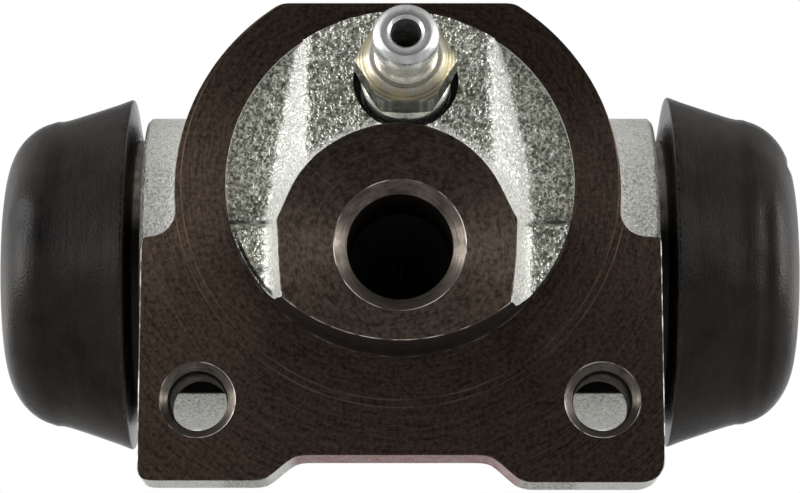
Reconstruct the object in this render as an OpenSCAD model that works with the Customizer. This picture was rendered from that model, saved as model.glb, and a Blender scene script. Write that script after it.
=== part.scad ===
// Hydraulic wheel cylinder of a drum brake, in millimetres.
// X runs along the bore, Y from the mounting face towards the drum, Z up.
// The origin is on the mounting face, midway between the two bolt holes.

/* [Bore and barrel] */
// Bore diameter
bore_d = 17.46; // [15:0.01:19]
// Outside diameter of the cast barrel
barrel_d = 28.5; // [27:0.1:32]
// Length of the cast barrel between its end faces
barrel_len = 45.7; // [42:0.1:52]
// Radius of the barrel's end edges
barrel_edge_r = 0.8; // [0.3:0.1:1.5]
// Distance of the bore axis behind the mounting face
axis_depth = 16; // [15:0.1:18]
// Height of the bore axis above the bolt holes
axis_h = 13.65; // [13:0.05:15]
// Diameter of the machined neck under each boot
neck_d = 24.4; // [23.5:0.1:26]
// Length of each neck beyond the barrel
neck_len = 4.2; // [3.6:0.1:6]
// Depth of the boot groove in the neck
groove_depth = 1.0; // [0.5:0.1:1.2]
// Width of the boot groove in the neck
groove_w = 1.5; // [1:0.1:2]
// Distance of the boot groove from the barrel end face
groove_at = 1.6; // [1.2:0.1:2]

/* [Mounting flange] */
// Thickness of the flange
flange_t = 7; // [5:0.1:9]
// Width of the flange across the bolt holes
flange_w = 45.5; // [43:0.1:52]
// Sideways offset of the flange from the middle of the bolt holes
flange_x = 0.1; // [-0.5:0.1:0.5]
// Distance from the bolt holes down to the feet
foot_drop = 7; // [6:0.1:10]
// Distance from the bolt holes up to the tops of the wings
wing_h = 14.3; // [13:0.1:16]
// Corner radius of the left foot
left_corner_r = 0.7; // [0.3:0.1:3]
// Corner radius of the right foot
right_corner_r = 1.8; // [0.3:0.1:3]
// Bolt hole pitch
bolt_pitch = 35; // [33:0.5:36]
// Core diameter of the M6 bolt thread
bolt_d = 5; // [4:0.05:5.5]
// Countersink diameter of the bolt holes on the mounting face
bolt_sink_d = 6.5; // [6:0.1:7.5]
// Countersink diameter of the bolt holes at the back
bolt_back_d = 5.8; // [5.6:0.1:7]
// Depth of the bolt drilling beyond the flange
bolt_runout = 1.2; // [0.5:0.1:3]
// Width of the notch between the feet, at its top
notch_w = 16.8; // [14:0.1:20]
// Height of the notch between the feet
notch_h = 2.2; // [1:0.05:3]
// Sideways run of each notch flank
notch_run = 2.7; // [1:0.1:3.5]
// Sideways offset of the notch
notch_x = -0.6; // [-1:0.1:1]
// Fillet radius in the notch
notch_r = 1.8; // [0.4:0.1:2]
// Outside radius of the ring
ring_r = 19.5; // [18.5:0.1:20.5]
// Sideways offset of the cast ring
ring_x = -0.2; // [-0.5:0.1:0.5]
// Height of the ring centre above the bolt holes
ring_h = 18.6; // [18:0.1:20]
// Height of the flat on top of the ring above the bolt holes
ring_top = 35.2; // [34:0.1:37]
// Fillet radius between the ring and the wings
ring_fillet = 2.2; // [1.5:0.1:2.8]

/* [Spigot and inlet boss] */
// Spigot diameter, which centres the cylinder in the backing plate
spigot_d = 30.5; // [29:0.1:32]
// Height of the spigot centre above the bolt holes
spigot_h = 19.1; // [18:0.1:20]
// Projection of the inlet boss from the mounting face
boss_proj = 9; // [7:0.1:12]
// Radius of the inlet boss face
boss_r = 9.85; // [9.5:0.05:11]
// Width of the inlet boss face below the inlet
boss_w = 20; // [18:0.1:21]
// Sideways offset of the inlet boss from the inlet
boss_x = -0.25; // [-0.5:0.05:0.5]
// Height of the boss arc centre above the inlet
boss_rise = 0.65; // [0.1:0.05:1]
// Height of the boss shoulders above the inlet
boss_shoulder = 2.2; // [1:0.1:3]
// Draft of the boss wall, degrees
boss_draft = 13; // [5:1:20]
// Height of the inlet above the bolt holes
inlet_h = 12; // [11:0.1:13]
// Core diameter of the M10x1 inlet thread
inlet_d = 8.9; // [8:0.05:9.5]
// Countersink diameter of the inlet
inlet_sink_d = 11.15; // [10:0.05:12]
// Depth of the inlet thread
inlet_len = 11; // [9:0.1:12]
// Diameter of the passages into the bore
passage_d = 2.6; // [2:0.1:3]
// Depth of the cast hollows beside the bleeder platform
hollow_depth = 0.6; // [0.3:0.1:2]
// Projection of the cast pads beside the boss
pad_proj = 1.5; // [0.5:0.1:2.5]
// Height of the pads' upper edge above the bolt holes
pad_top = 15.6; // [14:0.1:16]
// Width of the bleeder platform
platform_w = 16; // [15:0.1:18]
// Sideways run of each platform flank
platform_run = 2.1; // [1:0.1:3]
// Depth of the platform block behind its face
platform_root = 6; // [5:0.5:7]

/* [Bleeder screw] */
// Height of the bleeder above the bolt holes, at its platform
bleeder_h = 27.9; // [27:0.1:28.5]
// Sideways offset of the bleeder
bleeder_x = 0.5; // [-0.5:0.1:0.5]
// Projection of the platform from the mounting face, at the bleeder
bleeder_proj = 1.3; // [0.5:0.1:2]
// Upward tilt of the bleeder, degrees
bleeder_tilt = 11; // [5:0.5:14]
// Spotface diameter
spotface_d = 9.2; // [9.1:0.1:10]
// Depth of the spotface below the platform
spotface_depth = 1.8; // [1:0.1:2.5]
// Thread diameter of the bleeder
bleeder_thread_d = 8; // [7:0.1:8]
// Length of the bleeder below the platform
bleeder_reach = 11; // [9:0.1:11.5]
// Collar diameter
collar_d = 7.5; // [7:0.1:7.6]
// Collar height above the spotface
collar_len = 3; // [2:0.1:4]
// Width across the flats of the hexagon
hex_af = 7.8; // [7:0.1:8]
// Hexagon height
hex_len = 4.2; // [3:0.1:6]
// Diameter that the hexagon's corners are turned to
hex_corner_d = 8.9; // [8.2:0.1:9]
// Nozzle length beyond the hexagon
nozzle_len = 4.9; // [4.5:0.1:8]
// Neck diameter of the nozzle
nozzle_neck_d = 4.7; // [4:0.1:5]
// Largest diameter of the hose barb
barb_d = 5.8; // [5.2:0.1:6.2]
// Diameter of the nozzle tip
tip_d = 4.3; // [3.8:0.1:5]
// Diameter of the hole in the nozzle
nozzle_hole_d = 2.6; // [1.5:0.1:2.8]

/* [Pistons, cups and spring] */
// Running clearance of a piston in the bore, each side
piston_clear = 0.04; // [0.02:0.01:0.08]
// Clearance of a cup in the bore, each side
cup_clear = 0.02; // [0.01:0.01:0.04]
// Length of the guided piston body
piston_len = 12; // [11:0.1:13]
// Diameter of the piston nose inside the boot
nose_d = 14; // [13:0.1:15]
// Length of the piston nose
nose_len = 9.45; // [9:0.05:12]
// Depth of the boot groove in the nose
nose_groove_depth = 0.7; // [0.4:0.1:0.8]
// Width of the boot groove in the nose
nose_groove_w = 1.6; // [1:0.1:2]
// Distance of that groove from the end of the nose
nose_groove_at = 0.9; // [0.6:0.1:1.5]
// Width of the shoe slot
slot_w = 5.6; // [4.5:0.1:6]
// Length of the shoe slot
slot_len = 10.4; // [9:0.1:10.6]
// Depth of the shoe slot
slot_depth = 6.5; // [4.5:0.1:7]
// Thickness of the cup floor
cup_floor = 2.2; // [1.5:0.1:3]
// Length of the cup lip
cup_lip = 2.8; // [2:0.1:4]
// Thickness of the cup lip at its edge
lip_edge = 0.9; // [0.6:0.1:1.5]
// Sheet thickness of the expander
expander_t = 0.6; // [0.4:0.1:1]
// Height of the expander rim
expander_rim = 1.9; // [1.2:0.1:2.4]
// Wire diameter of the spring
wire_d = 1.2; // [0.8:0.1:1.5]
// Outside diameter of the spring
spring_d = 11.6; // [10:0.1:12]
// Length of the fitted spring
spring_len = 22.4; // [21:0.1:24]
// Turns of the spring
spring_turns = 6.5; // [5:0.5:8]

/* [Boots] */
// Largest radius of the boot lip
lip_r = 15.9; // [15:0.1:17]
// Step of the lip edge beyond the barrel end face
lip_gap = 1.55; // [1.2:0.05:2]
// Gap between the boot and the barrel end face at the neck
boot_gap = 0.4; // [0.2:0.05:0.8]
// Radius of the boot at its waist
waist_r = 14; // [13.5:0.1:14.5]
// Radius of the rounded outer corner of the boot
boot_corner_r = 5.8; // [4:0.1:6]
// Wall thickness of the boot
boot_wall = 2; // [1.5:0.1:2.5]
// Thickness of the boot end wall
boot_end_wall = 2.6; // [2.5:0.1:3.5]
// Length inside the boot over which it narrows to its end wall
boot_shoulder = 4; // [3:0.1:5]
// Depth of the piston nose below the boot end
nose_recess = 0.5; // [0.2:0.1:1]
// Clearance between rubber and metal
rubber_clear = 0.05; // [0.02:0.01:0.1]

/* [Hidden] */
$fn = 96;
eps = 0.01;
bore_r = bore_d / 2;
half_barrel = barrel_len / 2;
bore_end = half_barrel + neck_len;
neck_r = neck_d / 2;
spigot_r = spigot_d / 2;
fillet_z = wing_h + ring_fillet;
fillet_x = sqrt(pow(ring_r + ring_fillet, 2) - pow(fillet_z - ring_h, 2));
ring_touch = ring_r / (ring_r + ring_fillet);
boss_run = boss_proj * tan(boss_draft);
hex_r = hex_af / sqrt(3);
seat_len = bleeder_thread_d / 2 - passage_d / 2;
thread_clear = 0.05;
seat_y = -bleeder_proj + (bleeder_reach - 0.5) * cos(bleeder_tilt);
seat_z = bleeder_h - (bleeder_reach - 0.5) * sin(bleeder_tilt);
bore_top = axis_h + bore_r - 1;
bleeder_boss_r = bleeder_thread_d / 2 + 2.6;
expander_x = spring_len / 2;
cup_x = expander_x + expander_t;
piston_x = cup_x + cup_floor;
nose_x = piston_x + piston_len;
nose_end = nose_x + nose_len;
piston_r = bore_r - piston_clear;
cup_r = bore_r - cup_clear;
rim_r = cup_r - lip_edge - rubber_clear;
boot_end = nose_end + nose_recess;
boot_lip_x = half_barrel + lip_gap;
boot_seat_x = half_barrel + boot_gap;
bead_x = half_barrel + groove_at;
nose_groove_x = nose_end - nose_groove_at - nose_groove_w;
coil_r = (spring_d - wire_d) / 2;
// One node's name draws that node alone

// A flat outline in X and Z becomes a plate between two depths
module plate(from, to) {
    translate([0, to, 0])
        rotate([90, 0, 0])
            linear_extrude(to - from)
                children();
}

// An outline in radius and X becomes a solid turned about the bore axis
module turned() {
    translate([0, axis_depth, axis_h])
        rotate([0, 90, 0])
            rotate_extrude()
                children();
}

// Solids drawn along +Z move to the bleeder axis, with the platform at Z 0
module on_bleeder() {
    translate([bleeder_x, -bleeder_proj, bleeder_h])
        rotate([90 - bleeder_tilt, 0, 0])
            children();
}

// The sliver between a corner and its fillet; u and v point away from the corner
module corner(p, u, v, r) {
    a = u / norm(u);
    b = v / norm(v);
    half = acos(a * b) / 2;
    reach = r / tan(half);
    mid = p + (a + b) / norm(a + b) * r / sin(half);
    difference() {
        polygon([p, p + a * reach, mid, p + b * reach]);
        translate(mid)
            circle(r);
    }
}

module ring_fillet_area() {
    difference() {
        polygon([
            [fillet_x * ring_touch, ring_h + (fillet_z - ring_h) * ring_touch],
            [fillet_x, fillet_z],
            [fillet_x, wing_h - 1],
            [ring_r / 2, wing_h - 1]
        ]);
        translate([fillet_x, fillet_z])
            circle(ring_fillet);
    }
}

module notch_area() {
    w = notch_w / 2;
    foot = [w + notch_run, -foot_drop];
    top = [w, -foot_drop + notch_h];
    difference() {
        union() {
            polygon([
                [-foot[0], -foot_drop - 1], [-foot[0], -foot_drop], [-w, top[1]],
                [w, top[1]], foot, [foot[0], -foot_drop - 1]
            ]);
            for (side = [-1, 1])
                scale([side, 1])
                    corner(foot, top - foot, [1, 0], notch_r);
        }
        for (side = [-1, 1])
            scale([side, 1])
                corner(top, foot - top, [-1, 0], notch_r);
    }
}

module flange_area() {
    left = flange_x - flange_w / 2;
    right = flange_x + flange_w / 2;
    difference() {
        union() {
            intersection() {
                translate([ring_x, ring_h])
                    circle(ring_r, $fn = 180);
                translate([ring_x - ring_r, 0])
                    square([2 * ring_r, ring_top]);
            }
            translate([left, -foot_drop])
                square([flange_w, foot_drop + wing_h]);
            translate([ring_x, 0]) {
                ring_fillet_area();
                mirror([1, 0])
                    ring_fillet_area();
            }
        }
        translate([notch_x, 0])
            notch_area();
        corner([left, -foot_drop], [1, 0], [0, 1], left_corner_r);
        corner([right, -foot_drop], [-1, 0], [0, 1], right_corner_r);
    }
}

module spigot(from, to) {
    translate([0, to, spigot_h])
        rotate([90, 0, 0])
            cylinder(r = spigot_r, h = to - from, $fn = 180);
}

module inlet_boss() {
    half = boss_w / 2;
    intersection() {
        spigot(-boss_proj, 1);
        union() {
            translate([boss_x, 0, inlet_h + boss_rise])
                rotate([90, 0, 0])
                    cylinder(r1 = boss_r + boss_run, r2 = boss_r, h = boss_proj);
            translate([boss_x, 0, 0])
                linear_extrude(inlet_h + boss_shoulder)
                    polygon([
                        [-half - boss_run, 1], [-half - boss_run, 0], [-half, -boss_proj],
                        [half, -boss_proj], [half + boss_run, 0], [half + boss_run, 1]
                    ]);
        }
    }
}

module bleeder_platform() {
    half = platform_w / 2;
    on_bleeder()
        translate([-bleeder_x, -bleeder_h, 0])
            rotate([-90, 0, 0])
                linear_extrude(2 * bleeder_h)
                    polygon([
                        [-half, 0], [half, 0],
                        [half + platform_run, platform_run * 1.4], [half + platform_run, platform_root],
                        [-half - platform_run, platform_root], [-half - platform_run, platform_run * 1.4]
                    ]);
}

module barrel() {
    r = barrel_d / 2;
    turned()
        difference() {
            translate([0, -half_barrel])
                square([r, barrel_len]);
            corner([r, -half_barrel], [-1, 0], [0, 1], barrel_edge_r);
            corner([r, half_barrel], [-1, 0], [0, -1], barrel_edge_r);
        }
}

module casting() {
    difference() {
        union() {
            difference() {
                plate(0, flange_t)
                    flange_area();
                intersection() {
                    spigot(-1, hollow_depth);
                    translate([-spigot_r, -1, pad_top])
                        cube([spigot_d, 2 + hollow_depth, spigot_d]);
                }
            }
            intersection() {
                spigot(-boss_proj, flange_t);
                bleeder_platform();
                translate([-spigot_r, -boss_proj, pad_top])
                    cube([spigot_d, boss_proj + flange_t, spigot_d]);
            }
            intersection() {
                spigot(-pad_proj, 1);
                translate([-spigot_r, -pad_proj, 0])
                    cube([spigot_d, pad_proj + 1, pad_top]);
            }
            inlet_boss();
            barrel();
            turned()
                translate([0, -bore_end])
                    square([neck_r, 2 * bore_end]);
            on_bleeder()
                translate([0, 0, -bleeder_reach]) {
                    cylinder(r = bleeder_boss_r, h = bleeder_reach - flange_t / 2);
                    sphere(r = bleeder_boss_r);
                }
        }
        on_bleeder()
            translate([0, 0, -spotface_depth])
                cylinder(d = spotface_d, h = spotface_depth + boss_proj);
    }
}

module bore_cut() {
    turned()
        polygon([
            [0, -bore_end - 1], [bore_r + 1.5, -bore_end - 1], [bore_r, -bore_end + 0.5],
            [bore_r, bore_end - 0.5], [bore_r + 1.5, bore_end + 1], [0, bore_end + 1]
        ]);
}

module inlet_cut() {
    sink = (inlet_sink_d - inlet_d) / 2;
    translate([0, -boss_proj, inlet_h])
        rotate([-90, 0, 0]) {
            translate([0, 0, -1])
                cylinder(d1 = inlet_sink_d + 2, d2 = inlet_d, h = sink + 1);
            cylinder(d = inlet_d, h = inlet_len);
            translate([0, 0, inlet_len - eps])
                cylinder(d1 = inlet_d, d2 = passage_d, h = (inlet_d - passage_d) / 3);
            cylinder(d = passage_d, h = boss_proj + axis_depth);
        }
}

module bleeder_cut() {
    on_bleeder() {
        translate([0, 0, -bleeder_reach + seat_len])
            cylinder(d = bleeder_thread_d, h = bleeder_reach);
        translate([0, 0, -bleeder_reach])
            cylinder(d1 = passage_d, d2 = bleeder_thread_d, h = seat_len + eps);
    }
    translate([bleeder_x, seat_y, seat_z])
        rotate([-90 - atan2(seat_z - bore_top, axis_depth - seat_y), 0, 0])
            cylinder(d = passage_d, h = norm([axis_depth - seat_y, seat_z - bore_top]));
}

module bolt_cut() {
    sink = (bolt_sink_d - bolt_d) / 2;
    back = (bolt_back_d - bolt_d) / 2;
    for (side = [-1, 1])
        translate([side * bolt_pitch / 2, 0, 0])
            rotate([-90, 0, 0]) {
                translate([0, 0, -1])
                    cylinder(d1 = bolt_sink_d + 2, d2 = bolt_d, h = sink + 1);
                cylinder(d = bolt_d, h = flange_t + bolt_runout);
                translate([0, 0, flange_t - back])
                    cylinder(d1 = bolt_d, d2 = bolt_back_d, h = back + eps);
            }
}

module boot_groove_cut() {
    for (side = [-1, 1])
        scale([side, 1, 1])
            turned()
                translate([neck_r - groove_depth, bead_x])
                    square([groove_depth + 1, groove_w]);
}

module housing() {
    color([0.72, 0.73, 0.72])
        difference() {
            casting();
            bore_cut();
            inlet_cut();
            bleeder_cut();
            bolt_cut();
            boot_groove_cut();
        }
}

module bleeder_screw() {
    shank_r = bleeder_thread_d / 2 - thread_clear;
    collar_r = collar_d / 2;
    floor_z = -spotface_depth + thread_clear;
    hex_z = collar_len - spotface_depth;
    top = hex_z + hex_len;
    tip = top + nozzle_len;
    neck_r = nozzle_neck_d / 2;
    barb_r = barb_d / 2;
    cross_z = -bleeder_reach + seat_len + 2.8;
    color([0.80, 0.79, 0.70])
        on_bleeder()
            difference() {
                union() {
                    rotate_extrude()
                        polygon([
                            [0, -bleeder_reach + 0.4], [passage_d / 2, -bleeder_reach + 0.4],
                            [shank_r, -bleeder_reach + seat_len + 0.4], [shank_r, floor_z - 0.6],
                            [collar_r - 0.3, floor_z - 0.6], [collar_r - 0.3, floor_z],
                            [collar_r, floor_z + 0.4], [collar_r, hex_z + eps], [0, hex_z + eps]
                        ]);
                    intersection() {
                        translate([0, 0, hex_z])
                            cylinder(r = hex_r, h = hex_len, $fn = 6);
                        rotate_extrude()
                            polygon([
                                [0, hex_z], [hex_af / 2, hex_z], [hex_corner_d / 2, hex_z + 0.4],
                                [hex_corner_d / 2, top - 1], [neck_r + 0.8, top], [0, top]
                            ]);
                    }
                    rotate_extrude()
                        polygon([
                            [0, top - eps], [neck_r + 0.5, top - eps], [neck_r, top + 0.6],
                            [neck_r, tip - 2.4], [barb_r, tip - 1.6], [barb_r, tip - 1],
                            [barb_r - 0.15, tip - 0.5], [tip_d / 2, tip], [0, tip]
                        ]);
                }
                translate([0, 0, cross_z - 0.8])
                    cylinder(d = nozzle_hole_d, h = tip + bleeder_reach);
                translate([0, 0, tip - 0.25])
                    cylinder(d1 = nozzle_hole_d, d2 = nozzle_hole_d + 0.55, h = 0.26);
                translate([0, 0, cross_z])
                    rotate([0, 90, 0])
                        cylinder(d = 1.6, h = bleeder_thread_d, center = true);
            }
}

// The right-hand boot in radius and distance from the middle
module boot_outline() {
    out = [waist_r, boot_end];
    inner_r = waist_r - boot_wall;
    hole_r = nose_d / 2 - nose_groove_depth + rubber_clear;
    nose_hole_r = nose_d / 2 + rubber_clear;
    difference() {
        polygon([
            [neck_r + rubber_clear, boot_seat_x], [lip_r, boot_lip_x],
            [waist_r, boot_end - boot_corner_r - 0.3], out,
            [nose_hole_r, boot_end], [nose_hole_r, nose_groove_x + nose_groove_w - rubber_clear],
            [hole_r, nose_groove_x + nose_groove_w - rubber_clear],
            [hole_r, nose_groove_x + rubber_clear],
            [nose_hole_r, nose_groove_x + rubber_clear],
            [nose_hole_r, boot_end - boot_end_wall - boot_shoulder / 4],
            [inner_r - boot_wall, boot_end - boot_end_wall - boot_shoulder / 4],
            [inner_r, boot_end - boot_end_wall - boot_shoulder],
            [inner_r, bore_end + rubber_clear],
            [neck_r + rubber_clear, bore_end + rubber_clear]
        ]);
        corner(out, [0, -1], [-1, 0], boot_corner_r);
    }
    translate([neck_r - groove_depth + rubber_clear, bead_x + rubber_clear])
        square([groove_depth + 0.5, groove_w - 2 * rubber_clear]);
}

module right_boot() {
    color([0.09, 0.09, 0.09])
        turned()
            boot_outline();
}

module left_boot() {
    color([0.09, 0.09, 0.09])
        mirror([1, 0, 0])
            turned()
                boot_outline();
}

module piston_solid() {
    nose_r = nose_d / 2;
    groove_end = nose_groove_x + nose_groove_w;
    end_r = (slot_len - slot_w) / 2;
    difference() {
        turned()
            polygon([
                [0, piston_x], [piston_r - 0.5, piston_x], [piston_r, piston_x + 0.5],
                [piston_r, nose_x - 0.5], [piston_r - 0.5, nose_x], [nose_r, nose_x],
                [nose_r, nose_groove_x], [nose_r - nose_groove_depth, nose_groove_x],
                [nose_r - nose_groove_depth, groove_end], [nose_r, groove_end],
                [nose_r, nose_end - 0.3], [nose_r - 0.3, nose_end], [0, nose_end]
            ]);
        translate([nose_end - slot_depth, axis_depth, axis_h])
            rotate([0, 90, 0])
                linear_extrude(slot_depth + 1)
                    union() {
                        square([2 * end_r, slot_w], center = true);
                        for (side = [-1, 1])
                            translate([side * end_r, 0])
                                circle(d = slot_w);
                    }
    }
}

module right_piston() {
    color([0.70, 0.71, 0.72])
        piston_solid();
}

module left_piston() {
    color([0.70, 0.71, 0.72])
        mirror([1, 0, 0])
            piston_solid();
}

module cup_solid() {
    turned()
        polygon([
            [0, cup_x], [rim_r - 0.8, cup_x], [rim_r + rubber_clear, cup_x - cup_lip],
            [cup_r, cup_x - cup_lip], [cup_r, cup_x], [cup_r - 0.4, piston_x], [0, piston_x]
        ]);
}

module right_cup() {
    color([0.07, 0.07, 0.08])
        cup_solid();
}

module left_cup() {
    color([0.07, 0.07, 0.08])
        mirror([1, 0, 0])
            cup_solid();
}

module expander_solid() {
    slope = 0.8 / cup_lip;
    base_r = rim_r - 0.8 - rubber_clear;
    turned()
        polygon([
            [1.5, expander_x], [base_r - expander_t, expander_x],
            [base_r - expander_t + slope * expander_rim, expander_x - expander_rim],
            [base_r + slope * expander_rim, cup_x - expander_rim - expander_t],
            [base_r, cup_x], [1.5, cup_x]
        ]);
}

module right_expander() {
    color([0.75, 0.74, 0.66])
        expander_solid();
}

module left_expander() {
    color([0.75, 0.74, 0.66])
        mirror([1, 0, 0])
            expander_solid();
}

// Height of the spring wire at turn t: closed end turns, open turns between
function wire_x(t) =
    let (
        closed = wire_d + 0.1,
        open = (spring_len - wire_d - 2 * closed) / (spring_turns - 2)
    )
    t < 1 ? t * closed
    : t > spring_turns - 1 ? closed + (spring_turns - 2) * open + (t - spring_turns + 1) * closed
    : closed + (t - 1) * open;

module spring() {
    steps = 24;
    sides = 8;
    rings = round(spring_turns * steps);
    points = [
        for (i = [0:rings], k = [0:sides - 1])
            let (
                t = i / steps,
                r = coil_r + wire_d / 2 * cos(360 * k / sides),
                x = wire_x(t) - spring_len / 2 + wire_d / 2 + wire_d / 2 * sin(360 * k / sides)
            )
            [r * cos(360 * t), r * sin(360 * t), x]
    ];
    walls = [
        for (i = [0:rings - 1], k = [0:sides - 1])
            let (a = i * sides + k, b = i * sides + (k + 1) % sides)
            [a, b, b + sides, a + sides]
    ];
    ends = [
        [for (k = [sides - 1:-1:0]) k],
        [for (k = [0:sides - 1]) rings * sides + k]
    ];
    color([0.55, 0.56, 0.58])
        translate([0, axis_depth, axis_h])
            rotate([0, 90, 0])
                polyhedron(points, concat(walls, ends), convexity = 10);
}

housing();
bleeder_screw();
left_boot();
right_boot();
left_piston();
right_piston();
left_cup();
right_cup();
left_expander();
right_expander();
spring();
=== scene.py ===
import math

import bmesh
import bpy
import numpy as np
from mathutils import Matrix, Vector


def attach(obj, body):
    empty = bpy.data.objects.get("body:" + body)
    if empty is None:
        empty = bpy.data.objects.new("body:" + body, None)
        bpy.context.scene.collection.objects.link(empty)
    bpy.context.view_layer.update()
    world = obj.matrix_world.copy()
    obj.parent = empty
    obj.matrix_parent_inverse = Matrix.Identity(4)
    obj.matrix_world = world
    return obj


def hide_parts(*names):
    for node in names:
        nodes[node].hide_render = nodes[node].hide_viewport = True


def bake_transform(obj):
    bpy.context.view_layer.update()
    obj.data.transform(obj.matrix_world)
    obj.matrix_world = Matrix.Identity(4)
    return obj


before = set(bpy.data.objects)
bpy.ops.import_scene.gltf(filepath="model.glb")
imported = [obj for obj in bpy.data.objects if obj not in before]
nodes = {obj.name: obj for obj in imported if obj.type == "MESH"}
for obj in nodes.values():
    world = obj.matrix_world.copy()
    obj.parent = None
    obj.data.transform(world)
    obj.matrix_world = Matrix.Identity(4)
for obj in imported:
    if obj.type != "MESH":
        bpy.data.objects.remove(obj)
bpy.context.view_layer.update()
scene = bpy.context.scene

MM = 0.001

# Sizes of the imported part, in millimetres
AXIS_Y, AXIS_Z = 16.0, 13.65
BORE_R, BORE_END = 8.73, 27.05
BARREL_R, BARREL_END, NECK_R = 14.25, 22.85, 12.2
GROOVE_AT, GROOVE_W, GROOVE_DEPTH = 1.6, 1.5, 1.0
FLANGE_T, FLANGE_LEFT, FLANGE_RIGHT = 7.0, -22.65, 22.85
FOOT_Z, WING_Z = -7.0, 14.3
RING_X, RING_Z, RING_R, RING_TOP, RING_FILLET = -0.2, 18.6, 19.5, 35.2, 2.2
NOTCH_X, NOTCH_HALF, NOTCH_RUN, NOTCH_Z, NOTCH_R = -0.6, 8.4, 2.7, -4.8, 1.8
SPIGOT_Z, SPIGOT_R = 19.1, 15.25
BOSS_PROJ, BOSS_X, BOSS_Z, BOSS_R, BOSS_DRAFT, BOSS_FOOT = 9.0, -0.25, 12.65, 9.85, math.radians(7), 1.4
HOLLOW, PAD_PROJ, PAD_TOP, PLATFORM_HALF = 0.6, 1.5, 15.6, 8.0
INLET_Z, INLET_CORE, INLET_MAJOR, INLET_SINK, INLET_LEN = 12.0, 4.45, 5.0, 5.575, 11.0
BOLT_X, BOLT_CORE, BOLT_MAJOR, BOLT_SINK = 17.5, 2.5, 3.0, 3.25
PASSAGE_R = 1.3
BLEEDER = Vector((0.5, -1.3, 27.9))
BLEEDER_TILT = math.radians(11)
BLEEDER_AXIS = Vector((0, -math.cos(BLEEDER_TILT), math.sin(BLEEDER_TILT)))
SPOTFACE_R, SPOTFACE_DEPTH, BLEEDER_R, BLEEDER_REACH = 4.6, 1.8, 4.0, 11.0
INTO, ALONG = (0, 1, 0), (1, 0, 0)

# Camera: the mounting face seen from a little below its normal
TILT = math.radians(10.0)
DISTANCE = 300.0
TARGET = Vector((0.0, 0.0, 13.42))
camera_data = bpy.data.cameras.new("camera")
camera_data.sensor_width = 36.0
camera_data.lens = 155.25
camera_data.clip_start = 0.01
camera_data.clip_end = 20.0
camera = bpy.data.objects.new("camera", camera_data)
scene.collection.objects.link(camera)
camera.location = (TARGET + Vector((0, -math.cos(TILT), -math.sin(TILT))) * DISTANCE) * MM
camera.rotation_euler = (math.radians(90) + TILT, 0, 0)
scene.camera = camera
scene.view_settings.view_transform = "Standard"

# Stage: a white background, a light tent that is bright at the sides and dim in front, and a pale floor
BACKGROUND, FRONT, LEFT, RIGHT, ABOVE = 1.0, 0.06, 1.9, 1.66, 0.38


def studio_world():
    world = bpy.data.worlds.new("studio")
    world.use_nodes = True
    n, join = world.node_tree.nodes, world.node_tree.links.new
    n.clear()
    out, mixed = n.new("ShaderNodeOutputWorld"), n.new("ShaderNodeMixShader")
    path = n.new("ShaderNodeLightPath")
    white, soft = n.new("ShaderNodeBackground"), n.new("ShaderNodeBackground")
    white.inputs["Strength"].default_value = BACKGROUND
    for background in (white, soft):
        background.inputs["Color"].default_value = (1, 1, 1, 1)
    ways, parts = n.new("ShaderNodeTexCoord"), n.new("ShaderNodeSeparateXYZ")
    join(ways.outputs["Generated"], parts.inputs[0])

    def towards(axis, low, high, strength):
        """Rises to the strength while the direction turns from low to high along an axis."""
        made = n.new("ShaderNodeMapRange")
        made.interpolation_type = "SMOOTHSTEP"
        join(parts.outputs[axis], made.inputs["Value"])
        for key, value in (("From Min", low), ("From Max", high), ("To Max", strength)):
            made.inputs[key].default_value = value
        return made.outputs[0]

    def calc(how, a, b):
        made = n.new("ShaderNodeMath")
        made.operation = how
        for socket, value in zip(made.inputs, (a, b)):
            if isinstance(value, float):
                socket.default_value = value
            else:
                join(value, socket)
        return made.outputs[0]

    light = calc("ADD", towards("X", -0.25, -0.85, LEFT), towards("X", 0.25, 0.85, RIGHT))
    light = calc("MULTIPLY", light, calc("SUBTRACT", 1.0, towards("Z", 0.2, 0.7, 0.6)))
    light = calc("ADD", calc("ADD", light, towards("Z", 0.3, 0.9, ABOVE)), FRONT)
    join(light, soft.inputs["Strength"])
    mirrored = calc("MAXIMUM", path.outputs["Is Glossy Ray"], path.outputs["Is Transmission Ray"])
    mirrored = calc("MULTIPLY", mirrored, towards("Y", 0.8, 1.0, 1.0))
    seen = calc("MAXIMUM", path.outputs["Is Camera Ray"], mirrored)
    join(seen, mixed.inputs["Fac"])
    join(soft.outputs[0], mixed.inputs[1])
    join(white.outputs[0], mixed.inputs[2])
    join(mixed.outputs[0], out.inputs["Surface"])
    return world


scene.world = studio_world()


def area_light(name, at, size, watts):
    data = bpy.data.lights.new(name, "AREA")
    data.shape = "RECTANGLE"
    data.size, data.size_y = size[0] * MM, size[1] * MM
    data.energy = watts
    lamp = bpy.data.objects.new(name, data)
    scene.collection.objects.link(lamp)
    lamp.location = Vector(at) * MM
    lamp.rotation_euler = (LAMP_AIM - Vector(at)).normalized().to_track_quat("-Z", "Y").to_euler()


LAMP_AIM = Vector((0, 0, 15))
area_light("left_softbox", (-420, -60, 95), (180, 260), 0.55)
area_light("right_softbox", (420, -20, 95), (140, 260), 0.5)
FLOOR_Z, FLOOR_HALF = -90.0, 900.0


# Materials
def shader(name, metallic, roughness):
    mat = bpy.data.materials.new(name)
    mat.use_nodes = True
    bsdf = mat.node_tree.nodes["Principled BSDF"]
    bsdf.inputs["Metallic"].default_value = metallic
    bsdf.inputs["Roughness"].default_value = roughness
    return mat, bsdf


def node(mat, kind, inputs=None, **settings):
    """A node with its settings and inputs; an input is a number, a vector or another node's output."""
    made = mat.node_tree.nodes.new(kind)
    for key, value in settings.items():
        setattr(made, key, value)
    for key, value in (inputs or {}).items():
        if isinstance(value, bpy.types.NodeSocket):
            mat.node_tree.links.new(value, made.inputs[key])
        else:
            made.inputs[key].default_value = value
    return made


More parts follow.
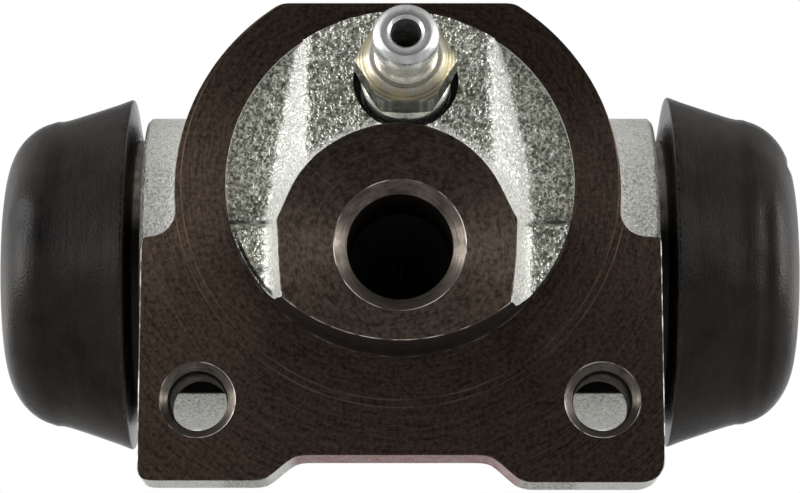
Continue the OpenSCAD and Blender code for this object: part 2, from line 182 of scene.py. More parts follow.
def link(mat, output, socket):
    mat.node_tree.links.new(output, socket)


def place(mat, centre=(0, 0, 0)):
    """Object coordinates in metres, measured from a centre given in millimetres."""
    coords = node(mat, "ShaderNodeTexCoord").outputs["Object"]
    return node(mat, "ShaderNodeMapping", {"Vector": coords, "Location": [-c * MM for c in centre]}).outputs[0]


def noise(mat, vector, scale, detail=3.0, rough=0.55):
    inputs = {"Vector": vector, "Scale": scale, "Detail": detail, "Roughness": rough}
    return node(mat, "ShaderNodeTexNoise", inputs).outputs["Fac"]


def ramp(mat, fac, *stops):
    made = node(mat, "ShaderNodeValToRGB", {"Fac": fac})
    elements = made.color_ramp.elements
    while len(elements) < len(stops):
        elements.new(0.5)
    for element, (at, colour) in zip(elements, stops):
        element.position = at
        element.color = (*colour, 1) if len(colour) == 3 else colour
    return made.outputs["Color"]


def grey(value):
    return (value, value, value)


def maths(mat, how, a, b=0.0, c=0.0):
    return node(mat, "ShaderNodeMath", {0: a, 1: b, 2: c}, operation=how).outputs[0]


def times(mat, first, *others):
    for other in others:
        first = maths(mat, "MULTIPLY", first, other)
    return first


def most(mat, a, b):
    return maths(mat, "MAXIMUM", a, b)


def parts_of(mat, vector):
    return node(mat, "ShaderNodeSeparateXYZ", {"Vector": vector}).outputs


def blend_colour(mat, fac, a, b, how="MIX"):
    made = node(mat, "ShaderNodeMix", data_type="RGBA", blend_type=how)
    for socket, value in ((made.inputs["Factor"], fac), (made.inputs[6], a), (made.inputs[7], b)):
        if isinstance(value, bpy.types.NodeSocket):
            link(mat, value, socket)
        else:
            socket.default_value = value if isinstance(value, float) else (*value, 1)
    return made.outputs[2]


def bump(mat, bsdf, height, strength, distance):
    made = node(mat, "ShaderNodeBump", {"Height": height, "Strength": strength, "Distance": distance * MM})
    link(mat, made.outputs[0], bsdf.inputs["Normal"])


def window(mat, value, low, high, soft):
    """One inside the range, falling to zero over the soft edge; in metres."""
    return times(mat, between(mat, value, low - soft, low), between(mat, value, high + soft, high))


def rings(mat, vector):
    """Radius, and the direction outwards, for marks that run round the Y axis."""
    parts = parts_of(mat, vector)
    plane = node(mat, "ShaderNodeCombineXYZ", {"X": parts["X"], "Y": parts["Z"]}).outputs[0]
    radius = node(mat, "ShaderNodeVectorMath", {0: plane}, operation="LENGTH").outputs["Value"]
    unit = node(mat, "ShaderNodeVectorMath", {0: plane}, operation="NORMALIZE").outputs[0]
    return radius, unit


def tool_marks(mat, radius, unit, per_turn, per_mm):
    """Streaks that run round a turned face."""
    u = parts_of(mat, unit)
    vec = node(mat, "ShaderNodeCombineXYZ", {
        "X": times(mat, u["X"], per_turn), "Y": times(mat, u["Y"], per_turn),
        "Z": times(mat, radius, per_mm / MM)}).outputs[0]
    return noise(mat, vec, 1.0, 4.0, 0.6)


def between(mat, value, low, high, start=0.0, end=1.0):
    """Runs from start to end while the value runs from low to high."""
    inputs = {"Value": value, "From Min": low, "From Max": high, "To Min": start, "To Max": end}
    return node(mat, "ShaderNodeMapRange", inputs).outputs[0]


def cast_zinc():
    """Plated casting: worm-like bright ridges on a dark ground, smoother on its slopes and barrel and painted paler
    there as painted light, with painted shade at the pad steps and the spigot rim.
    """
    mat, bsdf = shader("cast_zinc", 0.9, 0.3)
    at = place(mat)
    parts = parts_of(mat, at)
    aside = maths(mat, "ABSOLUTE", parts["X"])
    turn = parts_of(mat, node(mat, "ShaderNodeTexCoord").outputs["Normal"])
    over_boss = times(mat, window(mat, parts["Z"], 0.0120, 0.0260, 0.0010),
                      window(mat, parts["Y"], -0.0100, 0.0, 0.0010), between(mat, aside, 0.0115, 0.0105))
    lit_upward = times(mat, turn["Z"], most(mat, over_boss, between(mat, parts["Y"], 0.0002, 0.0006)))
    # Painted light: faces turned sideways, faces turned up over the boss and behind the face, and the barrel get a
    # paler, less metallic colour that stands in for the side and top light and the highlights falling on them
    facing = most(mat, maths(mat, "ABSOLUTE", turn["X"]), lit_upward)
    lit_slope = between(mat, facing, 0.25, 0.6)
    steep = between(mat, facing, 0.85, 0.96)
    front = between(mat, parts["Y"], 0.0040, 0.0030)
    barrel = most(mat, between(mat, aside, 0.0150, 0.0158), between(mat, parts["Y"], 0.0050, 0.0065))
    smooth = most(mat, lit_slope, barrel)
    patches = noise(mat, at, 330.0, 3.0)
    lumps = noise(mat, at, 800.0, 2.0)
    speckle = noise(mat, at, 3600.0, 2.0)
    worms = maths(mat, "ABSOLUTE", maths(mat, "SUBTRACT", noise(mat, at, 1600.0, 1.5, 0.6), 0.5))
    ridges = node(mat, "ShaderNodeMapRange", {"Value": worms, "From Min": 0.11, "From Max": 0.0},
                  interpolation_type="SMOOTHSTEP").outputs[0]
    ground = ramp(mat, patches, (0.35, (0.40, 0.405, 0.33)), (0.65, (0.60, 0.605, 0.49)))
    # Painted light: paler colour on the lit slopes and the barrel
    base = blend_colour(mat, most(mat, ridges, smooth), ground, (0.90, 0.905, 0.825))
    base = blend_colour(mat, times(mat, smooth, 0.9), base, (0.97, 0.972, 0.91))
    quiet = most(mat, maths(mat, "SUBTRACT", lit_slope, times(mat, steep, 0.35)), times(mat, barrel, 0.85))
    pits = times(mat, ramp(mat, speckle, (0.36, grey(0.9)), (0.52, grey(0.0))),
                 between(mat, quiet, 0.0, 1.0, 1.0, 0.38))
    base = blend_colour(mat, pits, base, (0.12, 0.122, 0.095))
    # Painted shade: a dark broken line along the top edge of each pad, the shade at the step between pad and hollow
    step = times(mat, window(mat, parts["Z"], 0.01545, 0.01575, 0.00012), window(mat, aside, 0.0118, 0.0150, 0.0006),
                 front, ramp(mat, lumps, (0.4, grey(0.1)), (0.55, grey(0.85))))
    base = blend_colour(mat, step, base, (0.05, 0.05, 0.042))
    # Painted shade: a dark band just inside the spigot rim, low at its left, the shadow of the hollow's rim in the
    # light from the left
    turned, _ = rings(mat, place(mat, (0, 0, SPIGOT_Z)))
    left_rim_shade = times(mat, window(mat, turned, (SPIGOT_R - 0.32) * MM, (SPIGOT_R - 0.12) * MM, 0.00012),
                 window(mat, parts["X"], -0.020, -0.009, 0.002), between(mat, parts["Z"], 0.0160, 0.0130),
                 window(mat, parts["Y"], -0.0022, 0.0030, 0.0006))
    base = blend_colour(mat, left_rim_shade, base, (0.045, 0.04, 0.034))
    paint = times(mat, between(mat, parts["Z"], -0.0040, -0.0048), window(mat, parts["X"], -0.0088, 0.0100, 0.001),
                  ramp(mat, noise(mat, at, 900.0, 4.0), (0.38, grey(0.65)), (0.62, grey(1.0))))
    base = blend_colour(mat, paint, base, (0.36, 0.11, 0.095))
    link(mat, base, bsdf.inputs["Base Color"])
    pale = most(mat, lit_slope, times(mat, barrel, 0.6))
    link(mat, between(mat, pale, 0.0, 1.0, 0.9, 0.2), bsdf.inputs["Metallic"])
    link(mat, ramp(mat, speckle, (0.3, grey(0.40)), (0.7, grey(0.24))), bsdf.inputs["Roughness"])
    height = times(mat, maths(mat, "ADD", ridges, times(mat, speckle, 0.25)), between(mat, quiet, 0.0, 1.0, 1.0, 0.4))
    height = maths(mat, "ADD", height, times(mat, lumps, barrel, 2.4))
    bump(mat, bsdf, height, 1.0, 0.15)
    return mat


def machined_face(name, centre, dark, light, sides, heights, lines=()):
    """A face cut by a turning tool.

    Its two pairs of painted light and shade say how much of its colour it keeps at the left and right, and at the
    foot and top.
    """
    mat, bsdf = shader(name, 0.9, 0.4)
    at = place(mat, centre)
    radius, unit = rings(mat, at)
    streaks = tool_marks(mat, radius, unit, 5.0, 3.5)
    fine = tool_marks(mat, radius, unit, 14.0, 9.0)
    mottle = noise(mat, at, 2600.0, 3.0)
    mixed = maths(mat, "MULTIPLY_ADD", fine, 0.3, times(mat, mottle, 0.45))
    mixed = maths(mat, "MULTIPLY_ADD", streaks, 0.25, mixed)
    base = ramp(mat, mixed, (0.41, dark), (0.60, light))
    across = parts_of(mat, at)
    # Painted light and shade: the colour is scaled across the face as the light falls on it
    keep = times(mat, between(mat, across["X"], -0.018, 0.018, *sides),
                 between(mat, across["Z"], -0.012, 0.009, *heights))
    painted_light_tone = node(mat, "ShaderNodeCombineXYZ", {"X": keep, "Y": keep, "Z": keep}).outputs[0]
    base = blend_colour(mat, 1.0, base, painted_light_tone, "MULTIPLY")
    for line_r in lines:
        mark = times(mat, window(mat, radius, line_r * MM, (line_r + 0.05) * MM, 0.00007),
                     ramp(mat, noise(mat, at, 160.0), (0.4, grey(0.1)), (0.6, grey(0.7))))
        base = blend_colour(mat, mark, base, [min(1.0, 2.2 * c) for c in light])
    pits = ramp(mat, noise(mat, at, 2600.0, 2.0), (0.70, grey(0.0)), (0.76, grey(0.5)))
    base = blend_colour(mat, pits, base, [0.4 * c for c in dark])
    link(mat, base, bsdf.inputs["Base Color"])
    link(mat, ramp(mat, fine, (0.3, grey(0.50)), (0.7, grey(0.36))), bsdf.inputs["Roughness"])
    bsdf.inputs["Anisotropic"].default_value = 0.9
    flat = parts_of(mat, unit)
    tangent = node(mat, "ShaderNodeCombineXYZ", {"X": flat["X"], "Z": flat["Y"]}).outputs[0]
    link(mat, tangent, bsdf.inputs["Tangent"])
    bump(mat, bsdf, maths(mat, "ADD", fine, times(mat, mottle, 0.4)), 0.5, 0.025)
    return mat


def turned_metal(name, colour, metallic, roughness, axis="Y", shaded=None):
    """Fine marks across an axis; shaded is the range of heights over which it comes out of the shade."""
    mat, bsdf = shader(name, metallic, roughness)
    at = place(mat)
    stretch = [9000 if k == axis else 700 for k in "XYZ"]
    marks = noise(mat, node(mat, "ShaderNodeMapping", {"Vector": at, "Scale": stretch}).outputs[0], 1.0, 3.0)
    cloud = noise(mat, at, 700.0, 3.0)
    mixed = maths(mat, "ADD", times(mat, marks, 0.5), times(mat, cloud, 0.5))
    base = ramp(mat, mixed, (0.38, [0.45 * c for c in colour]), (0.62, [min(1.0, 1.1 * c) for c in colour]))
    if shaded:
        lit = between(mat, parts_of(mat, at)["Z"], shaded[0] * MM, shaded[1] * MM)
        base = blend_colour(mat, lit, [0.06 * c for c in colour], base)
    link(mat, base, bsdf.inputs["Base Color"])
    dull = ramp(mat, cloud, (0.3, grey(roughness + 0.12)), (0.7, grey(roughness - 0.05)))
    link(mat, dull, bsdf.inputs["Roughness"])
    bump(mat, bsdf, marks, 0.3, 0.02)
    return mat


def broken_edge():
    mat, bsdf = shader("machined_edge", 0.45, 0.34)
    at = place(mat)
    base = ramp(mat, noise(mat, at, 520.0, 4.0), (0.46, (0.09, 0.075, 0.062)), (0.62, (0.70, 0.64, 0.60)))
    link(mat, base, bsdf.inputs["Base Color"])
    link(mat, ramp(mat, noise(mat, at, 2000.0), (0.3, grey(0.45)), (0.7, grey(0.28))), bsdf.inputs["Roughness"])
    return mat


def rubber(name, dark, light, roughness, lip=None):
    """Moulded rubber; lip is how far from the middle its outside starts, and inside the lip the colour is darkened as
    painted shade.
    """
    mat, bsdf = shader(name, 0.0, roughness)
    bsdf.inputs["Specular IOR Level"].default_value = 0.19
    at = place(mat)
    blotch = noise(mat, at, 110.0, 4.0, 0.65)
    fine = noise(mat, at, 4200.0, 3.0)
    wipe = node(mat, "ShaderNodeMapping", {"Vector": at, "Scale": [1900, 500, 260]}).outputs[0]
    smear = noise(mat, wipe, 1.0, 4.0)
    mixed = maths(mat, "MULTIPLY_ADD", smear, 0.15, times(mat, fine, 0.2))
    mixed = maths(mat, "MULTIPLY_ADD", blotch, 0.65, mixed)
    base = ramp(mat, mixed, (0.38, dark), (0.62, light))
    if lip:
        aside = maths(mat, "ABSOLUTE", parts_of(mat, at)["X"])
        worn = times(mat, window(mat, aside, (lip + 0.05) * MM, (lip + 0.2) * MM, 0.00008),
                     ramp(mat, fine, (0.46, grey(0.0)), (0.64, grey(0.5))))
        # Painted shade: inside the lip, towards the flange, the colour falls to a fifth of the dark colour, the shade
        # of the gap between boot and flange
        outside = between(mat, aside, (lip - 0.3) * MM, lip * MM)
        base = blend_colour(mat, worn, base, (0.075, 0.066, 0.060))
        base = blend_colour(mat, outside, [0.2 * c for c in dark], base)
    link(mat, base, bsdf.inputs["Base Color"])
    dull = ramp(mat, mixed, (0.40, grey(roughness + 0.08)), (0.60, grey(roughness - 0.04)))
    link(mat, dull, bsdf.inputs["Roughness"])
    bump(mat, bsdf, maths(mat, "ADD", fine, times(mat, smear, 0.8)), 0.9, 0.04)
    return mat


def bleeder_radius(mat, at, along):
    """Distance from the bleeder's axis."""
    centre = node(mat, "ShaderNodeVectorMath", {0: BLEEDER_AXIS, "Scale": along}, operation="SCALE").outputs[0]
    return node(mat, "ShaderNodeVectorMath", {0: at, 1: centre}, operation="DISTANCE").outputs["Value"]


def plated_bleeder():
    mat, bsdf = shader("bleeder_zinc", 0.9, 0.26)
    at = place(mat, BLEEDER)
    along = node(mat, "ShaderNodeVectorMath", {0: at, 1: BLEEDER_AXIS}, operation="DOT_PRODUCT").outputs["Value"]
    cloud = noise(mat, at, 900.0, 4.0)
    lengthwise = node(mat, "ShaderNodeCombineXYZ", {"X": times(mat, along, 7000.0)}).outputs[0]
    turns = noise(mat, lengthwise, 1.0, 2.0)
    base = ramp(mat, cloud, (0.35, (0.64, 0.65, 0.64)), (0.65, (0.90, 0.91, 0.90)))
    hexed = between(mat, along, 0.0056, 0.0050)
    base = blend_colour(mat, hexed, base, (0.115, 0.117, 0.101))
    ringed = maths(mat, "SINE", times(mat, bleeder_radius(mat, at, along), 2 * math.pi / 0.00027))
    ringed = times(mat, hexed, between(mat, ringed, -0.2, 0.8, 0.0, 0.5))
    base = blend_colour(mat, ringed, base, (0.43, 0.43, 0.37))
    tint = times(mat, window(mat, along, 0.0048, 0.0058, 0.0004),
                 ramp(mat, noise(mat, at, 500.0, 3.0), (0.35, grey(0.2)), (0.6, grey(0.95))))
    base = blend_colour(mat, times(mat, tint, 0.6), base, (0.44, 0.36, 0.18))
    base = blend_colour(mat, between(mat, along, 0.0044, 0.0041, 0.0, 0.4), base, (0.02, 0.02, 0.018))
    collar = between(mat, along, 0.0014, 0.0012)
    base = blend_colour(mat, collar, base, (0.70, 0.71, 0.67))
    grime = ramp(mat, noise(mat, at, 1700.0, 3.0), (0.60, grey(0.0)), (0.75, grey(0.55)))
    base = blend_colour(mat, grime, base, (0.22, 0.20, 0.16))
    link(mat, base, bsdf.inputs["Base Color"])
    link(mat, ramp(mat, cloud, (0.3, grey(0.34)), (0.7, grey(0.18))), bsdf.inputs["Roughness"])
    bump(mat, bsdf, maths(mat, "ADD", turns, cloud), 0.7, 0.035)
    return mat


CAST = cast_zinc()
# Painted light and shade: the mounting face lighter at its left and darker at its top, the boss lighter at its right
# and darker at its top
FACE = machined_face("machined_face", (0, 0, SPIGOT_Z), (0.045, 0.031, 0.023), (0.160, 0.113, 0.084),
                     sides=(1.17, 0.74), heights=(0.99, 0.66), lines=(19.1, 19.75))
BOSS = machined_face("machined_boss", (0, 0, INLET_Z), (0.058, 0.043, 0.032), (0.190, 0.143, 0.110),
                     sides=(0.95, 1.25), heights=(1.1, 0.55))
TURNED = turned_metal("turned_iron", (0.17, 0.148, 0.126), 0.9, 0.30)
NECK = turned_metal("turned_neck", (0.46, 0.38, 0.33), 0.7, 0.38, axis="X", shaded=(15.5, 18.0))
# Painted shade: near-black copies of the turned iron for the inlet beyond its chamfer, its thread and the bleeder
# spotface, and for the spigot's turned wall and the far ends of the bolt holes, which lie in shade
SHADED_DRILLED = turned_metal("drilled_iron_in_shade", (0.040, 0.034, 0.029), 0.7, 0.42)
SHADED_WALL = turned_metal("turned_wall_in_shade", (0.034, 0.026, 0.021), 0.6, 0.5)
CHAMFER = turned_metal("turned_chamfer", (0.19, 0.16, 0.135), 0.9, 0.28)
EDGE = broken_edge()
BOOT = rubber("boot_rubber", (0.0022, 0.0014, 0.0010), (0.0250, 0.0180, 0.0134), 0.23, lip=24.3)
CUP = rubber("cup_rubber", (0.012, 0.012, 0.013), (0.026, 0.026, 0.028), 0.38)
ZINC = plated_bleeder()
ALUMINIUM = turned_metal("piston_aluminium", (0.62, 0.63, 0.64), 0.9, 0.3, axis="X")
PRESSED = turned_metal("expander_steel", (0.58, 0.54, 0.40), 0.85, 0.34, axis="X")
WIRE = turned_metal("spring_wire", (0.30, 0.31, 0.33), 0.9, 0.32, axis="X")


# Mesh helpers, in millimetres until a piece is finished
def mesh_object(name, verts, faces):
    mesh = bpy.data.meshes.new(name)
    mesh.from_pydata([tuple(v) for v in verts], [], [tuple(f) for f in faces])
    mesh.validate()
    obj = bpy.data.objects.new(name, mesh)
    scene.collection.objects.link(obj)
    return obj


def outward(obj):
    bm = bmesh.new()
    bm.from_mesh(obj.data)
    bmesh.ops.remove_doubles(bm, verts=bm.verts, dist=1e-5)
    bmesh.ops.recalc_face_normals(bm, faces=bm.faces)
    bm.to_mesh(obj.data)
    bm.free()
    return obj


def axis_frame(origin, axis):
    axis = Vector(axis).normalized()
    side = Vector((1, 0, 0)) if abs(axis.x) < 0.9 else Vector((0, 0, 1))
    u = (side - axis * side.dot(axis)).normalized()
    v = axis.cross(u)
    m = Matrix((u, v, axis)).transposed().to_4x4()
    m.translation = Vector(origin)
    return m


def lathe(name, profile, origin, axis, segments=96):
    """Closed solid turned about an axis from (radius, distance) points that start and end on it."""
    m = axis_frame(origin, axis)
    verts, faces, loops = [], [], []
    for r, t in profile:
        if r < 1e-9:
            loops.append([len(verts)])
            verts.append(m @ Vector((0, 0, t)))
        else:
            loops.append(list(range(len(verts), len(verts) + segments)))
            for k in range(segments):
                a = 2 * math.pi * k / segments
                verts.append(m @ Vector((r * math.cos(a), r * math.sin(a), t)))
    for a, b in zip(loops, loops[1:]):
        for k in range(segments):
            n = (k + 1) % segments
            if len(a) == 1 and len(b) > 1:
                faces.append((a[0], b[n], b[k]))
            elif len(b) == 1 and len(a) > 1:
                faces.append((a[k], a[n], b[0]))
            elif len(a) > 1:
                faces.append((a[k], a[n], b[n], b[k]))
    return outward(mesh_object(name, verts, faces))


def prism(name, outline, y0, y1):
    """Closed solid from an outline in X and Z between two depths."""
    n = len(outline)
    verts = [(x, y0, z) for x, z in outline] + [(x, y1, z) for x, z in outline]
    faces = [tuple(range(n)), tuple(range(2 * n - 1, n - 1, -1))]
    faces += [(k, k + n, (k + 1) % n + n, (k + 1) % n) for k in range(n)]
    return outward(mesh_object(name, verts, faces))


def baked(obj):
    """The mesh with its modifiers applied."""
    bpy.context.view_layer.update()
    mesh = bpy.data.meshes.new_from_object(obj.evaluated_get(bpy.context.evaluated_depsgraph_get()))
    obj.modifiers.clear()
    obj.data = mesh
    return obj


def combine(obj, other, how):
    mod = obj.modifiers.new("combine", "BOOLEAN")
    mod.operation = how
    mod.solver = "MANIFOLD"
    mod.object = other
    baked(obj)
    bpy.data.objects.remove(other)
    return obj


def rounded(points, radii, steps=8):
    """Outline with a fillet of the given radius at each point."""
    out = []
    n = len(points)
    for k, (p, r) in enumerate(zip(points, radii)):
        p = Vector(p)
        a = (Vector(points[k - 1]) - p).normalized()
        b = (Vector(points[(k + 1) % n]) - p).normalized()
        if r <= 0:
            out.append(tuple(p))
            continue
        half = a.angle(b) / 2
        mid = p + (a + b).normalized() * (r / math.sin(half))
        start = p + a * (r / math.tan(half)) - mid
        end = p + b * (r / math.tan(half)) - mid
        turn = start.angle_signed(end)
        for s in range(steps + 1):
            ang = -turn * s / steps
            c, q = math.cos(ang), math.sin(ang)
            out.append((mid.x + start.x * c - start.y * q, mid.y + start.x * q + start.y * c))
    return out


def arc(cx, cz, r, a0, a1, steps):
    return [(cx + r * math.cos(a0 + (a1 - a0) * k / steps), cz + r * math.sin(a0 + (a1 - a0) * k / steps))
            for k in range(steps + 1)]


def flange_outline():
    dx = math.sqrt((RING_R + RING_FILLET) ** 2 - (WING_Z + RING_FILLET - RING_Z) ** 2)
    dz = WING_Z + RING_FILLET - RING_Z
    low = math.atan2(dz, dx)
    high = math.asin((RING_TOP - RING_Z) / RING_R)
    right = arc(RING_X + dx, WING_Z + RING_FILLET, RING_FILLET, -math.pi / 2, low - math.pi, 10)
    right += arc(RING_X, RING_Z, RING_R, low, high, 60)
    left = arc(RING_X, RING_Z, RING_R, math.pi - high, math.pi - low, 60)
    left += arc(RING_X - dx, WING_Z + RING_FILLET, RING_FILLET, -low, -math.pi / 2, 10)
    w, f = NOTCH_HALF, NOTCH_HALF + NOTCH_RUN
    feet = rounded(
        [(FLANGE_LEFT + 0.1, WING_Z), (FLANGE_LEFT, FOOT_Z), (NOTCH_X - f, FOOT_Z), (NOTCH_X - w, NOTCH_Z),
         (NOTCH_X + w, NOTCH_Z), (NOTCH_X + f, FOOT_Z - 0.15), (FLANGE_RIGHT, FOOT_Z - 0.15),
         (FLANGE_RIGHT - 0.1, WING_Z)],
        [0, 0.9, NOTCH_R, NOTCH_R, NOTCH_R, NOTCH_R, 1.9, 0])
    return feet + right + left


def grain_field(shape, step, seed, scales):
    """Smooth random relief on a grid: (length, weight) pairs in millimetres."""
    rng = np.random.default_rng(seed)
    fx = np.fft.fftfreq(shape[0], step)[:, None]
    fz = np.fft.fftfreq(shape[1], step)[None, :]
    f2 = fx ** 2 + fz ** 2
    total = np.zeros(shape)
    for length, weight in scales:
        softened = np.fft.fft2(rng.standard_normal(shape)) * np.exp(-2 * (math.pi * length) ** 2 * f2)
        field = np.fft.ifft2(softened).real
        total += weight * field / field.std()
    return total


def smooth_max(a, b, k):
    h = np.maximum(k - np.abs(a - b), 0) / k
    return np.maximum(a, b) + h * h * k * 0.25


def boss_outline():
    """Arch with shoulders a little wider than its foot."""
    high = math.asin(4.05 / BOSS_R)
    half = arc(0, BOSS_Z, BOSS_R, math.pi / 2, high, 24) + [(10.2, 14.2), (9.78, 8.4), (9.3, 2.0)]
    return [(BOSS_X + x, z) for x, z in half] + [(BOSS_X - x, z) for x, z in reversed(half[1:])]


def outline_distance(points, px, pz):
    """Distance from an outline, negative inside it."""
    near = np.full(px.shape, 1e9)
    inside = np.zeros(px.shape, bool)
    for (ax, az), (bx, bz) in zip(points, points[1:] + points[:1]):
        ex, ez = bx - ax, bz - az
        t = np.clip(((px - ax) * ex + (pz - az) * ez) / (ex * ex + ez * ez), 0, 1)
        near = np.minimum(near, np.hypot(px - ax - t * ex, pz - az - t * ez))
        crosses = (az > pz) != (bz > pz)
        inside ^= crosses & (px < ax + (pz - az) / (ez if ez else 1) * ex)
    return np.where(inside, -near, near)


# Front of the casting inside the spigot: hollows, pads, bleeder platform and inlet boss
SKIN_STEP = 0.14
SKIN_HALF = 15.52
SKIN_BACK = 3.6
count = int(2 * SKIN_HALF / SKIN_STEP) + 1
gx = np.linspace(-SKIN_HALF, SKIN_HALF, count)
gz = np.linspace(-SKIN_HALF, SKIN_HALF, count) + SPIGOT_Z
X, Z = np.meshgrid(gx, gz, indexing="ij")
sway = grain_field(X.shape, SKIN_STEP, 5, [(1.6, 1.0)]) * 0.07
plane = 1.3 + (BLEEDER.z - Z) * math.tan(BLEEDER_TILT)
flank = plane - 1.1 * (np.abs(X + sway) - PLATFORM_HALF)
platform = -smooth_max(-plane, -flank, 0.5)
floor = np.full_like(X, -HOLLOW) + sway
pads = -smooth_max(np.full_like(X, -PAD_PROJ), -(PAD_PROJ + (PAD_TOP - 0.6 - Z) * 3.5), 0.8)
boss_d = outline_distance(boss_outline(), X, Z)
H = smooth_max(floor, platform, 0.5)
H = smooth_max(H, pads, 0.5)
beyond = boss_d + 0.5 * sway - (BOSS_PROJ - H - BOSS_FOOT) * math.tan(BOSS_DRAFT)
foot = BOSS_FOOT - np.sqrt(np.maximum(BOSS_FOOT ** 2 - np.clip(BOSS_FOOT - beyond, 0, BOSS_FOOT) ** 2, 0))
wall = BOSS_FOOT - beyond / math.tan(BOSS_DRAFT)
H = np.minimum(H + np.where(beyond < 0, wall, foot), BOSS_PROJ + 3)
slope_x, slope_z = np.gradient(H, SKIN_STEP)
length = np.sqrt(1 + slope_x ** 2 + slope_z ** 2)
grain = grain_field(X.shape, SKIN_STEP, 11, [(0.12, 0.8), (0.3, 0.5), (0.8, 0.3)]) * 0.035
grain = np.clip(grain, -0.12, 0.1) * np.clip((BOSS_PROJ - H) / 3.0, 0.15, 1.0)
PX = X - slope_x / length * grain
PZ = Z - slope_z / length * grain
PY = -(H + grain / length)
top = np.stack([PX, PY, PZ], -1).reshape(-1, 3)
back = np.stack([X, np.full_like(X, SKIN_BACK), Z], -1).reshape(-1, 3)
index = np.arange(count * count).reshape(count, count)
quads = np.stack([index[:-1, :-1], index[1:, :-1], index[1:, 1:], index[:-1, 1:]], -1).reshape(-1, 4)
border = np.concatenate([index[:-1, 0], index[-1, :-1], index[:0:-1, -1], index[0, :0:-1]])
m = count * count
skin_verts = np.concatenate([top, back[border]])
skin_faces = [tuple(q) for q in quads]
nb = len(border)
skin_faces += [(int(border[k]), m + k, m + (k + 1) % nb, int(border[(k + 1) % nb])) for k in range(nb)]
skin_faces.append(tuple(m + k for k in range(nb)))
skin = outward(mesh_object("front_casting", skin_verts, skin_faces))
drum = lathe("drum", [(0, -30), (SPIGOT_R + 0.1, -30), (SPIGOT_R + 0.1, SKIN_BACK + 1), (0, SKIN_BACK + 1)],
             (0, 0, SPIGOT_Z), INTO, 240)
combine(skin, drum, "INTERSECT")
tool = [(SPIGOT_R, -12), (60, -12), (60, 0), (SPIGOT_R + 0.22, 0), (SPIGOT_R, -0.22), (SPIGOT_R, -12)]
combine(skin, lathe("turning", tool, (0, 0, SPIGOT_Z), INTO, 240), "DIFFERENCE")
facing = prism("facing", [(-30, -30), (30, -30), (30, 60), (-30, 60)], -20, -BOSS_PROJ)
combine(skin, facing, "DIFFERENCE")

# Back of the casting: flange, barrel and bleeder boss, grown together with soft corners
blank = prism("housing", flange_outline(), -1.2, FLANGE_T)
barrel = lathe("barrel", [(0, -23.6), (BARREL_R, -23.6), (BARREL_R, 23.6), (0, 23.6)],
               (0, AXIS_Y, AXIS_Z), ALONG, 160)
combine(blank, barrel, "UNION")
HUMP_R, HUMP_TOP, HUMP_STEPS = 6.6, -3.5, 12
hump = [(0, -BLEEDER_REACH - HUMP_R)]
for k in range(1, HUMP_STEPS + 1):
    a = math.pi / 2 * k / HUMP_STEPS
    hump.append((HUMP_R * math.sin(a), -BLEEDER_REACH - HUMP_R * math.cos(a)))
hump += [(HUMP_R, HUMP_TOP), (0, HUMP_TOP)]
combine(blank, lathe("hump", hump, BLEEDER, BLEEDER_AXIS, 64), "UNION")
remesh = blank.modifiers.new("grow", "REMESH")
remesh.mode = "VOXEL"
remesh.voxel_size = 0.42
baked(blank)
soften = blank.modifiers.new("soften", "SMOOTH")
soften.factor = 0.5
soften.iterations = 5
baked(blank)

# Machining: mounting face, spigot seat, necks, bore, threads and passages
combine(blank, prism("planing", [(-40, -40), (40, -40), (40, 60), (-40, 60)], -10, 0), "DIFFERENCE")
seat = lathe("seat", [(0, -5), (SPIGOT_R, -5), (SPIGOT_R, SKIN_BACK - 0.6), (0, SKIN_BACK - 0.6)],
             (0, 0, SPIGOT_Z), INTO, 240)
combine(blank, seat, "DIFFERENCE")
combine(blank, skin, "UNION")
BARREL_EDGE, TRIM_OVER, TRIM_END = 0.35, 0.5, 27
for side in (-1, 1):
    trim = [(0, BARREL_END), (BARREL_R - BARREL_EDGE, BARREL_END),
            (BARREL_R + TRIM_OVER, BARREL_END - BARREL_EDGE - TRIM_OVER), (BARREL_R + TRIM_OVER, TRIM_END),
            (0, TRIM_END)]
    combine(blank, lathe("end_trim", trim, (0, AXIS_Y, AXIS_Z), (side, 0, 0), 160), "DIFFERENCE")
    g = BARREL_END + GROOVE_AT
    neck = [(0, BARREL_END - 4), (NECK_R, BARREL_END - 4), (NECK_R, g), (NECK_R - GROOVE_DEPTH, g),
            (NECK_R - GROOVE_DEPTH, g + GROOVE_W), (NECK_R, g + GROOVE_W), (NECK_R, BORE_END - 0.4),
            (NECK_R - 0.4, BORE_END), (0, BORE_END)]
    combine(blank, lathe("neck", neck, (0, AXIS_Y, AXIS_Z), (side, 0, 0), 128), "UNION")
bore = [(0, -BORE_END - 1), (BORE_R + 1.5, -BORE_END - 1), (BORE_R, -BORE_END + 0.5), (BORE_R, BORE_END - 0.5),
        (BORE_R + 1.5, BORE_END + 1), (0, BORE_END + 1)]
combine(blank, lathe("bore", bore, (0, AXIS_Y, AXIS_Z), ALONG, 128), "DIFFERENCE")
first = INLET_CORE + 0.08
inlet = [(0, -1), (INLET_SINK + 1, -1), (first, INLET_SINK - first), (first, INLET_SINK - first + 0.15),
         (INLET_MAJOR, INLET_SINK - first + 0.5), (INLET_MAJOR, INLET_LEN), (INLET_CORE, INLET_LEN + 0.4),
         (PASSAGE_R, INLET_LEN + 2.2), (PASSAGE_R, BOSS_PROJ + AXIS_Y), (0, BOSS_PROJ + AXIS_Y)]
combine(blank, lathe("inlet", inlet, (0, -BOSS_PROJ, INLET_Z), INTO, 128), "DIFFERENCE")
spot = [(0, -SPOTFACE_DEPTH), (SPOTFACE_R, -SPOTFACE_DEPTH), (SPOTFACE_R, 12), (0, 12)]
combine(blank, lathe("spotface", spot, BLEEDER, BLEEDER_AXIS, 96), "DIFFERENCE")
seat_len = BLEEDER_R - PASSAGE_R
